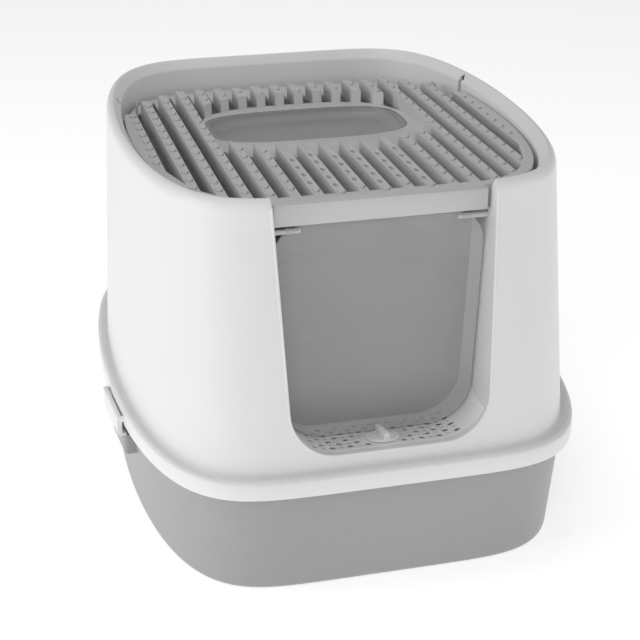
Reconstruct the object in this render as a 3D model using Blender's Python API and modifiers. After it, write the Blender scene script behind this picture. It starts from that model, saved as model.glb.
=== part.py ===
"""Hooded cat litter box: a grey tray, a white hood clipped onto it, a grate lid and a smoked entry flap.

Metres, +Z up. The origin is on the floor under the middle of the tray and the doorway faces -Y.
"""

import math

import bmesh
import bpy
from mathutils import Matrix, Vector

MM = 0.001
FIT_GAP = 0.3 * MM
BOX_NAME = "cat_litter_box"

# Plan outline shared by tray, hood and lid: |x / a| ** PLAN_POWER + (y / b) ** 2 = 1
PLAN_POWER = 6.1
PLAN_STEPS = 19

# Overall sizes, as half width and half depth
SKIRT_HALF = (212.2 * MM, 261.2 * MM)
BASE_HALF = (202.2 * MM, 250.3 * MM)
TOP_HALF = (191.6 * MM, 219.9 * MM)
FLOOR_HALF = (196.2 * MM, 243.6 * MM)
SKIRT_BOTTOM = 98.3 * MM
FLANGE_TOP = 115.0 * MM
WALL_FOOT = 118.0 * MM
WALL_TOP = 338.5 * MM
RIM_TOP = 348.6 * MM
RIM_SLOPE = 0.0189

# Collar of the tray, inside the foot of the hood
COLLAR_HALF = (196.6 * MM, 242.4 * MM)
COLLAR_TOP = 150.0 * MM
COLLAR_WALL = 1.8 * MM
COLLAR_GAP_HALF = 98.0 * MM
TRAY_WALL_INSET = 8.6 * MM
TRAY_LIP_INSET = 3.6 * MM

# Shell thicknesses
TRAY_WALL = 2.8 * MM
HOOD_WALL = 2.6 * MM

# Lid well inside the rim
WELL_HALF = (177.4 * MM, 205.8 * MM)
LEDGE_HALF = (171.3 * MM, 196.4 * MM)
LID_HALF = (175.7 * MM, 198.4 * MM)
LID_BOTTOM = 316.6 * MM
LID_TOP = 335.3 * MM
LEDGE_END = 60.0 * MM

# Slats of the lid
SLAT_PITCH = 19.2 * MM
SLOT_WIDTH = 10.6 * MM
SLOTS_EACH_SIDE = 8
SLOT_FRONT = -187.5 * MM
BORDER_WIDTH = 8.0 * MM
REAR_BORDER_TOP = 320.6 * MM
SLAT_END_HALF = (171.5 * MM, 153.5 * MM)
BUMP_PITCH = 21.0 * MM
DRAIN_HOLE_LENGTH = 7.4 * MM
DRAIN_HOLE_WIDTH = 3.4 * MM
DRAINED_SLATS_EACH_SIDE = 3

# Front board of the lid
BOARD_HALF_WIDTH = 90.0 * MM
BOARD_FACE = -207.0 * MM
BOARD_BOTTOM = 317.4 * MM

# Viewing window of the lid
HATCH_CENTRE = 35.5 * MM
HATCH_HALF = (104.0 * MM, 85.0 * MM)
HATCH_POWER = 3.0
HATCH_SIDE = 101.7 * MM
HATCH_EASE = 0.4 * MM
HATCH_FLOOR = 323.2 * MM
WINDOW_CENTRE = 51.0 * MM
WINDOW_HALF = (96.5 * MM, 51.0 * MM)
WINDOW_POWER = 3.4
WINDOW_SEAT = 320.8 * MM
WINDOW_SEAT_WIDTH = 4.5 * MM
WINDOW_DISH_DEPTH = 8.0 * MM
WINDOW_THICKNESS = 2.2 * MM

# Lid pins
LID_PIN_Y = 96.0 * MM
LID_PIN_Z = 325.6 * MM
LID_PIN_RADIUS = 2.0 * MM
LID_PIN_CLEARANCE = 0.4 * MM

# Doorway: half width at two heights, the threshold and its slope towards the inside
DOOR_TOP_Z = 340.0 * MM
DOOR_HALF_TOP = 94.0 * MM
DOOR_HALF_FOOT = 85.0 * MM
DOOR_FOOT_Z = 127.4 * MM
DOOR_CORNER = 40.0 * MM
DOOR_FOOT_Y = -249.0 * MM
STEP_SLOPE = 0.17
FRAME_THICKNESS = 5.6 * MM
FRAME_BACK = -166.0 * MM
FRAME_TOP = 315.9 * MM
JAMB_BACK = -205.2 * MM

# Perforated step
STEP_FRONT = -239.0 * MM
STEP_BACK = -170.0 * MM
STEP_SIDE_TOP = 150.0 * MM
STEP_THICKNESS = 2.4 * MM
HOLE_PITCH_X = 15.8 * MM
HOLE_PITCH_Y = 8.2 * MM
HOLE_ROWS = 7
STEP_WINDOW_HALF = 66.0 * MM
BIG_HOLE_RADIUS = 2.4 * MM
SMALL_HOLE_RADIUS = 1.1 * MM

# Entry flap
FLAP_Y = -200.0 * MM
FLAP_THICKNESS = 2.6 * MM
FLAP_GAP = 1.7 * MM
FLAP_TOP = 315.4 * MM
FLAP_TOP_CORNER = 28.0 * MM
FLAP_PIN_Z = 310.5 * MM
FLAP_PIN_RADIUS = 2.2 * MM
FLAP_PIN_CLEARANCE = 0.5 * MM
FLAP_KNUCKLE_RADIUS = 4.4 * MM

# Turn knob in the step
KNOB_Y = -218.5 * MM
KNOB_RADIUS = 14.8 * MM
KNOB_DISC = 2.2 * MM
KNOB_FIN_WIDTH = 6.0 * MM
KNOB_FIN_HEIGHT = 7.0 * MM
SPINDLE_RADIUS = 4.0 * MM
SPINDLE_CLEARANCE = 0.5 * MM

# Side clips, drawn square to the middle of the right side and then turned to lie along the skirt
CLIP_Y = -66.0 * MM
CLIP_LENGTH = 60.0 * MM
CLIP_TURN = math.radians(-4.07)
CLIP_PIN_X = 212.8 * MM
CLIP_PIN_Z = 106.0 * MM
CLIP_PIN_RADIUS = 1.0 * MM
CLIP_ROLL_RADIUS = 2.4 * MM
CLIP_FOOT = 87.4 * MM
HOOK_THICKNESS = 3.0 * MM
EAR_THICKNESS = 3.0 * MM
EAR_GAP = 0.6 * MM
RIDGE_OUTER = 206.6 * MM
RIDGE_HEIGHTS = (91.2 * MM, 94.6 * MM)
BLOCK_OUTER = 209.4 * MM
BLOCK_HEIGHTS = (66.0 * MM, 85.4 * MM)

WHITE = (0.86, 0.86, 0.86, 1.0)
GREY = (0.42, 0.42, 0.42, 1.0)
PALE_GREY = (0.52, 0.52, 0.52, 1.0)
SMOKE = (0.30, 0.30, 0.31, 1.0)
DARK = (0.07, 0.07, 0.07, 1.0)


# ---------------------------------------------------------------- scene helpers


def clear_scene():
    for obj in list(bpy.data.objects):
        bpy.data.objects.remove(obj, do_unlink=True)


def new_collection(name):
    collection = bpy.data.collections.new(name)
    bpy.context.scene.collection.children.link(collection)
    return collection


def material(name, colour, roughness, metallic=0.0, alpha=1.0):
    made = bpy.data.materials.new(name)
    made.use_nodes = True
    shader = made.node_tree.nodes["Principled BSDF"]
    shader.inputs["Base Color"].default_value = colour
    shader.inputs["Roughness"].default_value = roughness
    shader.inputs["Metallic"].default_value = metallic
    shader.inputs["Alpha"].default_value = alpha
    return made


def add_object(name, mesh, surface=None):
    obj = bpy.data.objects.new(name, mesh)
    (PARTS if surface else CUTTERS).objects.link(obj)
    if surface:
        obj.data.materials.append(surface)
    else:
        obj.hide_render = True
        obj.display_type = "WIRE"
    return obj


def mesh_from(bm, name):
    bmesh.ops.recalc_face_normals(bm, faces=bm.faces)
    mesh = bpy.data.meshes.new(name)
    bm.to_mesh(mesh)
    bm.free()
    return mesh


def boolean(obj, operation, other):
    modifier = obj.modifiers.new(f"{operation.lower()}_{other.name}", "BOOLEAN")
    modifier.operation = operation
    modifier.object = other
    modifier.solver = "EXACT"


def solidify(obj, thickness):
    modifier = obj.modifiers.new("thickness", "SOLIDIFY")
    modifier.thickness = thickness
    modifier.offset = -1.0
    modifier.use_even_offset = True


def bevel(obj, width, segments=2, angle=math.radians(40)):
    modifier = obj.modifiers.new("rounded", "BEVEL")
    modifier.width = width
    modifier.segments = segments
    modifier.limit_method = "ANGLE"
    modifier.angle_limit = angle
    modifier.use_clamp_overlap = True


def smooth(obj, angle=math.radians(35)):
    obj.data.shade_smooth()
    obj.data.set_sharp_from_angle(angle=angle)


def shift_to(obj, origin):
    """Puts the object's origin at a point without moving its geometry."""
    obj.data.transform(Matrix.Translation(-Vector(origin)))
    obj.location = origin


# ---------------------------------------------------------------- shape helpers


def plan_quarter(half):
    """Evenly spaced points of the outline from its right end towards its rear end."""
    fine = 400
    dense = []
    for step in range(fine + 1):
        along = math.cos(0.5 * math.pi * step / fine)
        dense.append(Vector((half[0] * along, half[1] * math.sqrt(max(0.0, 1.0 - along**PLAN_POWER)))))
    runs = [0.0]
    for before, after in zip(dense, dense[1:]):
        runs.append(runs[-1] + (after - before).length)
    points = []
    index = 0
    for step in range(PLAN_STEPS):
        wanted = runs[-1] * step / PLAN_STEPS
        while runs[index + 1] < wanted:
            index += 1
        share = (wanted - runs[index]) / (runs[index + 1] - runs[index])
        points.append(dense[index].lerp(dense[index + 1], share))
    return points


def plan_ring(half, height, slope=0.0):
    """Points of one outline, anticlockwise, with a height that may climb to the rear."""
    quarter = plan_quarter(half)
    rear = Vector((0.0, half[1]))
    first = quarter
    second = [rear] + [Vector((-p.x, p.y)) for p in reversed(quarter[1:])]
    front_half = [-p for p in first + second]
    return [Vector((p.x, p.y, height + slope * p.y)) for p in first + second + front_half]


def oval_ring(half, height, power, centre, count=56):
    """Points of one superellipse with the same power both ways."""
    points = []
    for step in range(count):
        turn = 2.0 * math.pi * step / count
        reach = (abs(math.cos(turn)) ** power + abs(math.sin(turn)) ** power) ** (-1.0 / power)
        x = half[0] * reach * math.cos(turn)
        y = half[1] * reach * math.sin(turn)
        points.append(Vector((x, y + centre, height)))
    return points


def shrink(half, inset):
    return (half[0] - inset, half[1] - inset)


def loft(name, rings, cap_first=False, cap_last=False):
    """A skin through rings that have the same number of points."""
    bm = bmesh.new()
    rows = [[bm.verts.new(point) for point in ring] for ring in rings]
    count = len(rows[0])
    for lower, upper in zip(rows, rows[1:]):
        for index in range(count):
            after = (index + 1) % count
            bm.faces.new((lower[index], lower[after], upper[after], upper[index]))
    if cap_first:
        bm.faces.new(list(reversed(rows[0])))
    if cap_last:
        bm.faces.new(rows[-1])
    if cap_first and cap_last:
        return mesh_from(bm, name)
    mesh = bpy.data.meshes.new(name)
    bm.to_mesh(mesh)
    bm.free()
    return mesh


def prism(name, ring, low, high):
    """A closed solid with one outline from one height to another."""
    bottom = [Vector((p.x, p.y, low)) for p in ring]
    top = [Vector((p.x, p.y, high)) for p in ring]
    return loft(name, [bottom, top], cap_first=True, cap_last=True)


def box(name, low, high):
    bm = bmesh.new()
    bmesh.ops.create_cube(bm, size=1.0)
    low = Vector(low)
    high = Vector(high)
    size = high - low
    bmesh.ops.scale(bm, vec=size, verts=bm.verts)
    bmesh.ops.translate(bm, vec=(low + high) / 2, verts=bm.verts)
    return mesh_from(bm, name)


def cylinder(name, radius, start, end, sides=20):
    """A closed cylinder between two points."""
    start = Vector(start)
    end = Vector(end)
    bm = bmesh.new()
    length = (end - start).length
    bmesh.ops.create_cone(bm, cap_ends=True, segments=sides, radius1=radius, radius2=radius, depth=length)
    turn = Vector((0, 0, 1)).rotation_difference(end - start).to_matrix().to_4x4()
    bmesh.ops.transform(bm, matrix=Matrix.Translation((start + end) / 2) @ turn, verts=bm.verts)
    return mesh_from(bm, name)


def joined(name, meshes):
    """One mesh from several that don't touch."""
    bm = bmesh.new()
    for mesh in meshes:
        bm.from_mesh(mesh)
        bpy.data.meshes.remove(mesh)
    return mesh_from(bm, name)


def mirrored(name, mesh):
    copy = mesh.copy()
    copy.transform(Matrix.Scale(-1.0, 4, (1, 0, 0)))
    copy.flip_normals()
    copy.name = name
    return copy


def rounded_corner(before, corner, after, radius, steps):
    """Points of the arc of one radius that rounds a corner of a flat outline."""
    before = Vector(before)
    corner = Vector(corner)
    after = Vector(after)
    into = (before - corner).normalized()
    out = (after - corner).normalized()
    half_angle = into.angle(out) / 2
    centre = corner + (into + out).normalized() * radius / math.sin(half_angle)
    reach = radius / math.tan(half_angle)
    start = corner + into * reach - centre
    end = corner + out * reach - centre
    sweep = start.angle_signed(end)
    return [centre + Matrix.Rotation(-sweep * step / steps, 2) @ start for step in range(steps + 1)]


def door_half(z):
    """Half width of the doorway at a height."""
    share = (z - DOOR_FOOT_Z) / (DOOR_TOP_Z - DOOR_FOOT_Z)
    return DOOR_HALF_FOOT + share * (DOOR_HALF_TOP - DOOR_HALF_FOOT)


def door_outline(grow, top, top_corner=0.0, steps=8):
    """The doorway in the XZ plane at the face of the wall, from the top left round by the foot."""
    foot = DOOR_FOOT_Z - grow
    corners = [
        (-door_half(top) - grow, top),
        (-door_half(foot) - grow, foot),
        (door_half(foot) + grow, foot),
        (door_half(top) + grow, top),
    ]
    radius = DOOR_CORNER + grow
    points = []
    if top_corner:
        points += rounded_corner(corners[3], corners[0], corners[1], top_corner, steps)
    else:
        points.append(Vector(corners[0]))
    points += rounded_corner(corners[0], corners[1], corners[2], radius, steps)
    points += rounded_corner(corners[1], corners[2], corners[3], radius, steps)
    if top_corner:
        points += rounded_corner(corners[2], corners[3], corners[0], top_corner, steps)
    else:
        points.append(Vector(corners[3]))
    return points


def below(points, top):
    """The part of the doorway outline under a height, with both ends cut level."""
    kept = []
    for before, after in zip(points, points[1:]):
        if before.y <= top:
            kept.append(before)
        if (before.y > top) != (after.y > top):
            kept.append(before.lerp(after, (top - before.y) / (after.y - before.y)))
    return kept


def step_drop(y):
    """How far the threshold has fallen at a depth behind the face of the wall."""
    return STEP_SLOPE * (y - DOOR_FOOT_Y)


def door_prism(name, outline, front, back):
    """A closed solid with the doorway outline, which falls towards the inside with the step."""
    near = [Vector((p.x, front, p.y - step_drop(front))) for p in outline]
    far = [Vector((p.x, back, p.y - step_drop(back))) for p in outline]
    return loft(name, [near, far], cap_first=True, cap_last=True)


# ---------------------------------------------------------------- tray


def make_tray():
    lip_half = shrink(SKIRT_HALF, TRAY_LIP_INSET)
    wall_half = shrink(SKIRT_HALF, TRAY_WALL_INSET)
    lip_top = FLANGE_TOP - HOOD_WALL - FIT_GAP
    rings = [
        plan_ring(shrink(FLOOR_HALF, 7 * MM), 0.0),
        plan_ring(shrink(FLOOR_HALF, 2.2 * MM), 1.2 * MM),
        plan_ring(FLOOR_HALF, 5.0 * MM),
        plan_ring(wall_half, lip_top - 8.0 * MM),
        plan_ring(lip_half, lip_top - 5.6 * MM),
        plan_ring(lip_half, lip_top),
    ]
    tray = add_object("tray", loft("tray", rings, cap_first=True), material("tray_plastic", GREY, 0.45))
    solidify(tray, TRAY_WALL)
    boolean(tray, "UNION", tray_collar())
    catch = add_object("catch_blocks", catch_blocks())
    boolean(tray, "UNION", catch)
    smooth(tray)
    return tray


def tray_collar():
    """The upright collar that stands inside the hood, open where the doorway's lining passes."""
    wall = shrink(SKIRT_HALF, TRAY_WALL_INSET)
    foot = 100.0 * MM
    outer = [plan_ring(shrink(wall, 1.4 * MM), foot), plan_ring(shrink(COLLAR_HALF, -1.4 * MM), 111.0 * MM)]
    outer += [plan_ring(COLLAR_HALF, 118.0 * MM), plan_ring(COLLAR_HALF, COLLAR_TOP)]
    collar = add_object("tray_collar", loft("tray_collar", outer))
    solidify(collar, COLLAR_WALL)
    gap_low = (-COLLAR_GAP_HALF, -300 * MM, 104.5 * MM)
    gap = box("collar_gap", gap_low, (COLLAR_GAP_HALF, -100 * MM, 200 * MM))
    boolean(collar, "DIFFERENCE", add_object("collar_gap", gap))
    return collar


def turned(mesh):
    """Turns a mesh about the upright line through the middle of the clip's pin."""
    middle = Matrix.Translation((CLIP_PIN_X, CLIP_Y, 0.0))
    mesh.transform(middle @ Matrix.Rotation(CLIP_TURN, 4, "Z") @ middle.inverted())
    return mesh


def both_sides(name, mesh):
    """A mesh made for the right side, and its mirror image, in one."""
    left = mirrored("left", mesh)
    return joined(name, [mesh, left])


def plan_x(half, y):
    """Half width of an outline at one depth."""
    return half[0] * (1.0 - (y / half[1]) ** 2) ** (1.0 / PLAN_POWER)


def catch_blocks():
    """The ridge that each clip hooks under, and the block below it, on both sides of the tray."""
    reach = CLIP_LENGTH / 2 - 4 * MM
    rise = (SKIRT_HALF[0] - TRAY_WALL_INSET - FLOOR_HALF[0]) / (100 * MM)
    meshes = []
    shapes = (("ridge", RIDGE_OUTER, RIDGE_HEIGHTS), ("block", BLOCK_OUTER, BLOCK_HEIGHTS))
    for name, outer, heights in shapes:
        middle = (heights[0] + heights[1]) / 2
        half = (FLOOR_HALF[0] + rise * middle, FLOOR_HALF[1] + rise * middle)
        inner = plan_x(half, CLIP_Y) - TRAY_WALL * 0.75
        meshes.append(box(name, (inner, CLIP_Y - reach, heights[0]), (outer, CLIP_Y + reach, heights[1])))
    return both_sides("catch_blocks", turned(joined("right", meshes)))


# ---------------------------------------------------------------- hood


def outer_rings():
    """The outside of the hood, from the foot of the skirt to the inner edge of the rim."""
    middle = (0.5 * (BASE_HALF[0] + TOP_HALF[0]), 0.5 * (BASE_HALF[1] + TOP_HALF[1]))
    return [
        plan_ring(SKIRT_HALF, SKIRT_BOTTOM),
        plan_ring(shrink(SKIRT_HALF, 0.3 * MM), FLANGE_TOP - 2.2 * MM),
        plan_ring(shrink(SKIRT_HALF, 1.5 * MM), FLANGE_TOP - 0.3 * MM),
        plan_ring((BASE_HALF[0] + 2.0 * MM, BASE_HALF[1] + 2.0 * MM), WALL_FOOT - 2.0 * MM),
        plan_ring(BASE_HALF, WALL_FOOT),
        plan_ring(middle, 0.5 * (WALL_FOOT + WALL_TOP), RIM_SLOPE / 2),
        plan_ring(TOP_HALF, WALL_TOP, RIM_SLOPE),
        plan_ring(shrink(TOP_HALF, 1.2 * MM), WALL_TOP + 5.2 * MM, RIM_SLOPE),
        plan_ring(shrink(TOP_HALF, 3.8 * MM), WALL_TOP + 8.8 * MM, RIM_SLOPE),
        plan_ring(shrink(TOP_HALF, 6.9 * MM), RIM_TOP, RIM_SLOPE),
        plan_ring(WELL_HALF, RIM_TOP - 7.6 * MM, RIM_SLOPE),
    ]


def well_rings():
    """The inside of the rim, down to the ledge that the lid rests on."""
    ledge_top = LID_BOTTOM - FIT_GAP
    return [
        plan_ring(WELL_HALF, ledge_top),
        plan_ring(LEDGE_HALF, ledge_top),
    ]


def door_frame_block():
    """The lining of the doorway, trimmed to the outside of the hood and to the lid well."""
    outline = door_outline(FRAME_THICKNESS, 372 * MM)
    frame = add_object("door_frame", door_prism("door_frame", outline, -270 * MM, FRAME_BACK))
    outside = loft("hood_envelope", outer_rings(), cap_first=True, cap_last=True)
    envelope = add_object("hood_envelope", outside)
    above_low = (-130 * MM, JAMB_BACK, FRAME_TOP)
    above = add_object("above_frame", box("above_frame", above_low, (130 * MM, 0.0, 400 * MM)))
    boolean(frame, "INTERSECT", envelope)
    boolean(frame, "DIFFERENCE", above)
    return frame


def doorway_cutter():
    outline = door_outline(0.0, 380 * MM)
    return add_object("doorway", door_prism("doorway", outline, -290 * MM, -150 * MM))


def rebate_cutter():
    """The recess in the lining that takes the perforated step."""
    outline = below(door_outline(STEP_THICKNESS + FIT_GAP, DOOR_TOP_Z), STEP_SIDE_TOP + FIT_GAP)
    lean = STEP_THICKNESS * STEP_SLOPE
    cutter = door_prism("step_rebate", outline, STEP_FRONT - lean - FIT_GAP, STEP_BACK + FIT_GAP)
    return add_object("step_rebate", cutter)


def step_window_cutter():
    """The opening under the step that lets the litter fall back into the tray."""
    half = STEP_WINDOW_HALF
    low = (-half, STEP_FRONT + 5 * MM, 90 * MM)
    return add_object("step_window", box("step_window", low, (half, STEP_BACK - 5 * MM, 133 * MM)))


def rear_ledge_cutter():
    """Takes the ledge away behind the hinge, where the rear of the lid swings down past it."""
    ring = plan_ring(shrink(WELL_HALF, 0.5 * MM), 0.0)
    cutter = add_object("rear_ledge", prism("rear_ledge", ring, 300 * MM, LID_BOTTOM + 1 * MM))
    keep = box("front_ledge", (-210 * MM, -230 * MM, 290 * MM), (210 * MM, LEDGE_END, 330 * MM))
    boolean(cutter, "DIFFERENCE", add_object("front_ledge", keep))
    return cutter


def pin_slot_cutter():
    """Slots in both sides of the rim, which take the lid's pins from above."""
    half = LID_PIN_RADIUS + LID_PIN_CLEARANCE
    bottom = LID_PIN_Z - half
    slot = box("slot", (164 * MM, LID_PIN_Y - half, bottom), (176.5 * MM, LID_PIN_Y + half, 360 * MM))
    head = [
        Vector((168 * MM, LID_PIN_Y - 2.0 * half, 0)),
        Vector((173.5 * MM, LID_PIN_Y - 2.0 * half, 0)),
        Vector((178.0 * MM, LID_PIN_Y, 0)),
        Vector((173.5 * MM, LID_PIN_Y + 2.0 * half, 0)),
        Vector((168 * MM, LID_PIN_Y + 2.0 * half, 0)),
    ]
    head_mesh = prism("head", head, 337.5 * MM, 362 * MM)
    slots = [slot, mirrored("slot_left", slot)]
    heads = [head_mesh, mirrored("head_left", head_mesh)]
    return [
        add_object("pin_slots", joined("pin_slots", slots)),
        add_object("pin_lead_ins", joined("pin_lead_ins", heads)),
    ]


def flap_socket_cutter():
    radius = FLAP_PIN_RADIUS + FLAP_PIN_CLEARANCE
    reach = 96.4 * MM
    right = cylinder("socket", radius, (85 * MM, FLAP_Y, FLAP_PIN_Z), (reach, FLAP_Y, FLAP_PIN_Z))
    left = mirrored("socket_left", right)
    return add_object("flap_sockets", joined("flap_sockets", [right, left]))


def clip_ears():
    """Pairs of ears on the skirt that carry each clip's pin."""
    inner = plan_x(SKIRT_HALF, CLIP_Y) - HOOD_WALL * 0.75
    outer = CLIP_PIN_X + CLIP_ROLL_RADIUS
    low = CLIP_PIN_Z - CLIP_ROLL_RADIUS
    high = CLIP_PIN_Z + CLIP_ROLL_RADIUS
    meshes = []
    for end in (-1, 1):
        middle = CLIP_Y + end * (CLIP_LENGTH / 2 + EAR_GAP + EAR_THICKNESS / 2)
        front = middle - EAR_THICKNESS / 2
        meshes.append(box("ear", (inner, front, low), (outer, front + EAR_THICKNESS, high)))
    return add_object("clip_ears", both_sides("clip_ears", turned(joined("right", meshes))))


def clip_rod(radius, reach):
    """A rod along the right clip's pin."""
    start = (CLIP_PIN_X, CLIP_Y - reach, CLIP_PIN_Z)
    return turned(cylinder("rod", radius, start, (CLIP_PIN_X, CLIP_Y + reach, CLIP_PIN_Z), 12))


def clip_pin_bores():
    reach = CLIP_LENGTH / 2 + EAR_GAP + EAR_THICKNESS + 4 * MM
    bores = both_sides("clip_pin_bores", clip_rod(CLIP_PIN_RADIUS + FIT_GAP, reach))
    return add_object("clip_pin_bores", bores)


def make_hood():
    rings = outer_rings() + well_rings()
    hood = add_object("hood", loft("hood", rings), material("hood_plastic", WHITE, 0.4))
    solidify(hood, HOOD_WALL)
    boolean(hood, "UNION", door_frame_block())
    boolean(hood, "DIFFERENCE", doorway_cutter())
    boolean(hood, "DIFFERENCE", rebate_cutter())
    boolean(hood, "DIFFERENCE", step_window_cutter())
    boolean(hood, "DIFFERENCE", rear_ledge_cutter())
    for cutter in pin_slot_cutter():
        boolean(hood, "DIFFERENCE", cutter)
    boolean(hood, "DIFFERENCE", flap_socket_cutter())
    boolean(hood, "UNION", clip_ears())
    boolean(hood, "DIFFERENCE", clip_pin_bores())
    smooth(hood)
    return hood


# ---------------------------------------------------------------- step plate and knob


def step_sheet():
    """The step's upper face as an open strip across the foot of the doorway."""
    outline = below(door_outline(0.0, DOOR_TOP_Z), STEP_SIDE_TOP)
    bm = bmesh.new()
    near = [bm.verts.new((p.x, STEP_FRONT, p.y - step_drop(STEP_FRONT))) for p in outline]
    far = [bm.verts.new((p.x, STEP_BACK, p.y - step_drop(STEP_BACK))) for p in outline]
    for index in range(len(outline) - 1):
        bm.faces.new((near[index], near[index + 1], far[index + 1], far[index]))
    mesh = bpy.data.meshes.new("step_plate")
    bm.to_mesh(mesh)
    bm.free()
    return mesh


def hole_centres(offset):
    """Centres of one staggered family of holes, clear of the knob."""
    centres = []
    for row in range(HOLE_ROWS):
        y = STEP_FRONT + 9.5 * MM + row * HOLE_PITCH_Y
        shift = (0.5 if row % 2 else 0.0) + offset
        for column in range(-5, 6):
            x = (column + shift) * HOLE_PITCH_X
            if abs(x) > 66 * MM:
                continue
            if math.hypot(x, y - KNOB_Y) < KNOB_RADIUS + 2.8 * MM:
                continue
            centres.append((x, y))
    return centres


def perforation_cutter(name, radius, offset, sides):
    pegs = []
    for x, y in hole_centres(offset):
        pegs.append(cylinder("peg", radius, (x, y, 95 * MM), (x, y, 175 * MM), sides))
    return add_object(name, joined(name, pegs))


def knob_axis():
    """A point on the step's upper face and the direction square to it."""
    height = DOOR_FOOT_Z - step_drop(KNOB_Y)
    normal = Vector((0.0, STEP_SLOPE, 1.0)).normalized()
    return Vector((0.0, KNOB_Y, height)), normal


def make_step():
    step = add_object("step_plate", step_sheet(), material("step_plastic", WHITE, 0.45))
    solidify(step, STEP_THICKNESS)
    boolean(step, "DIFFERENCE", perforation_cutter("big_holes", BIG_HOLE_RADIUS, 0.0, 6))
    boolean(step, "DIFFERENCE", perforation_cutter("small_holes", SMALL_HOLE_RADIUS, 0.5, 4))
    base, normal = knob_axis()
    radius = SPINDLE_RADIUS + SPINDLE_CLEARANCE
    bore = cylinder("spindle_bore", radius, base - normal * 0.02, base + normal * 0.02, 24)
    boolean(step, "DIFFERENCE", add_object("spindle_bore", bore))
    return step


def make_knob():
    base, normal = knob_axis()
    low = base + normal * FIT_GAP
    high = low + normal * KNOB_DISC
    disc = cylinder("turn_knob", KNOB_RADIUS, low, high, 40)
    knob = add_object("turn_knob", disc, material("knob_plastic", WHITE, 0.35))
    reach = KNOB_RADIUS + 0.4 * MM
    fin = box("fin", (-KNOB_FIN_WIDTH / 2, -reach, 0), (KNOB_FIN_WIDTH / 2, reach, KNOB_FIN_HEIGHT))
    tilt = Vector((0, 0, 1)).rotation_difference(normal).to_matrix().to_4x4()
    fin.transform(Matrix.Translation(low + normal * KNOB_DISC / 2) @ tilt)
    foot = base - normal * (STEP_THICKNESS + 3.4 * MM)
    spindle = cylinder("spindle", SPINDLE_RADIUS, foot, low + normal * 1 * MM, 24)
    fin_object = add_object("knob_fin", fin)
    bevel(fin_object, 1.6 * MM, 3)
    boolean(knob, "UNION", fin_object)
    boolean(knob, "UNION", add_object("knob_spindle", spindle))
    knob.data.transform(Matrix.Translation(-base))
    knob.location = base
    smooth(knob)
    return knob


def make_knob_cam():
    """The cross bar pressed on the end of the spindle, under the step."""
    base, normal = knob_axis()
    top = base - normal * (STEP_THICKNESS + 2 * FIT_GAP)
    bar = box("knob_cam", (-12 * MM, -6 * MM, -2.4 * MM), (12 * MM, 6 * MM, 0))
    tilt = Vector((0, 0, 1)).rotation_difference(normal).to_matrix().to_4x4()
    bar.transform(Matrix.Translation(top) @ tilt)
    cam = add_object("knob_cam", bar, material("cam_plastic", PALE_GREY, 0.5))
    bore = cylinder("cam_bore", SPINDLE_RADIUS + FIT_GAP, top - normal * 0.01, top + normal * 0.01, 24)
    boolean(cam, "DIFFERENCE", add_object("cam_bore", bore))
    cam.data.transform(Matrix.Translation(-base))
    cam.location = base
    return cam


# ---------------------------------------------------------------- entry flap


def make_flap():
    outline = door_outline(-FLAP_GAP, FLAP_TOP + step_drop(FLAP_Y), FLAP_TOP_CORNER)
    drop = step_drop(FLAP_Y)
    half = FLAP_THICKNESS / 2
    near = [Vector((p.x, FLAP_Y - half, p.y - drop)) for p in outline]
    far = [Vector((p.x, FLAP_Y + half, p.y - drop)) for p in outline]
    mesh = loft("flap", [near, far], cap_first=True, cap_last=True)
    flap = add_object("flap", mesh, material("smoked_plastic", SMOKE, 0.12, alpha=0.6))
    knuckles = []
    for side in (-1, 1):
        start = (side * 62 * MM, FLAP_Y, FLAP_PIN_Z)
        end = (side * 79.5 * MM, FLAP_Y, FLAP_PIN_Z)
        knuckles.append(cylinder("knuckle", FLAP_KNUCKLE_RADIUS, start, end))
    boolean(flap, "UNION", add_object("flap_knuckles", joined("flap_knuckles", knuckles)))
    radius = FLAP_PIN_RADIUS + FIT_GAP
    bores = []
    for side in (-1, 1):
        start = (side * 66 * MM, FLAP_Y, FLAP_PIN_Z)
        bores.append(cylinder("bore", radius, start, (side * 90 * MM, FLAP_Y, FLAP_PIN_Z)))
    boolean(flap, "DIFFERENCE", add_object("flap_pin_bores", joined("flap_pin_bores", bores)))
    shift_to(flap, (0.0, FLAP_Y, FLAP_PIN_Z))
    smooth(flap)
    return flap


def make_flap_pins():
    surface = material("pin_plastic", DARK, 0.4)
    for side, label in ((-1, "left"), (1, "right")):
        start = (side * 66.6 * MM, FLAP_Y, FLAP_PIN_Z)
        mesh = cylinder("flap_pin", FLAP_PIN_RADIUS, start, (side * 95.8 * MM, FLAP_Y, FLAP_PIN_Z))
        pin = add_object(f"flap_pin_{label}", mesh, surface)
        shift_to(pin, (side * 90 * MM, FLAP_Y, FLAP_PIN_Z))
        smooth(pin)


# ---------------------------------------------------------------- lid


def slot_cutter():
    """All through slots between the slats, kept inside the border and clear of the window land."""
    boxes = []
    for index in range(-SLOTS_EACH_SIDE, SLOTS_EACH_SIDE + 1):
        x = index * SLAT_PITCH
        low = (x - SLOT_WIDTH / 2, SLOT_FRONT, 300 * MM)
        boxes.append(box("slot", low, (x + SLOT_WIDTH / 2, 205 * MM, 350 * MM)))
    slots = add_object("lid_slots", joined("lid_slots", boxes))
    inner = shrink(LID_HALF, BORDER_WIDTH)
    limit = prism("slot_limit", plan_ring(inner, 0.0), 290 * MM, 360 * MM)
    boolean(slots, "INTERSECT", add_object("slot_limit", limit))
    land = oval_ring(HATCH_HALF, 0.0, HATCH_POWER, HATCH_CENTRE)
    boolean(slots, "DIFFERENCE", add_object("hatch_land", prism("hatch_land", land, 280 * MM, 370 * MM)))
    return slots


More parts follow.
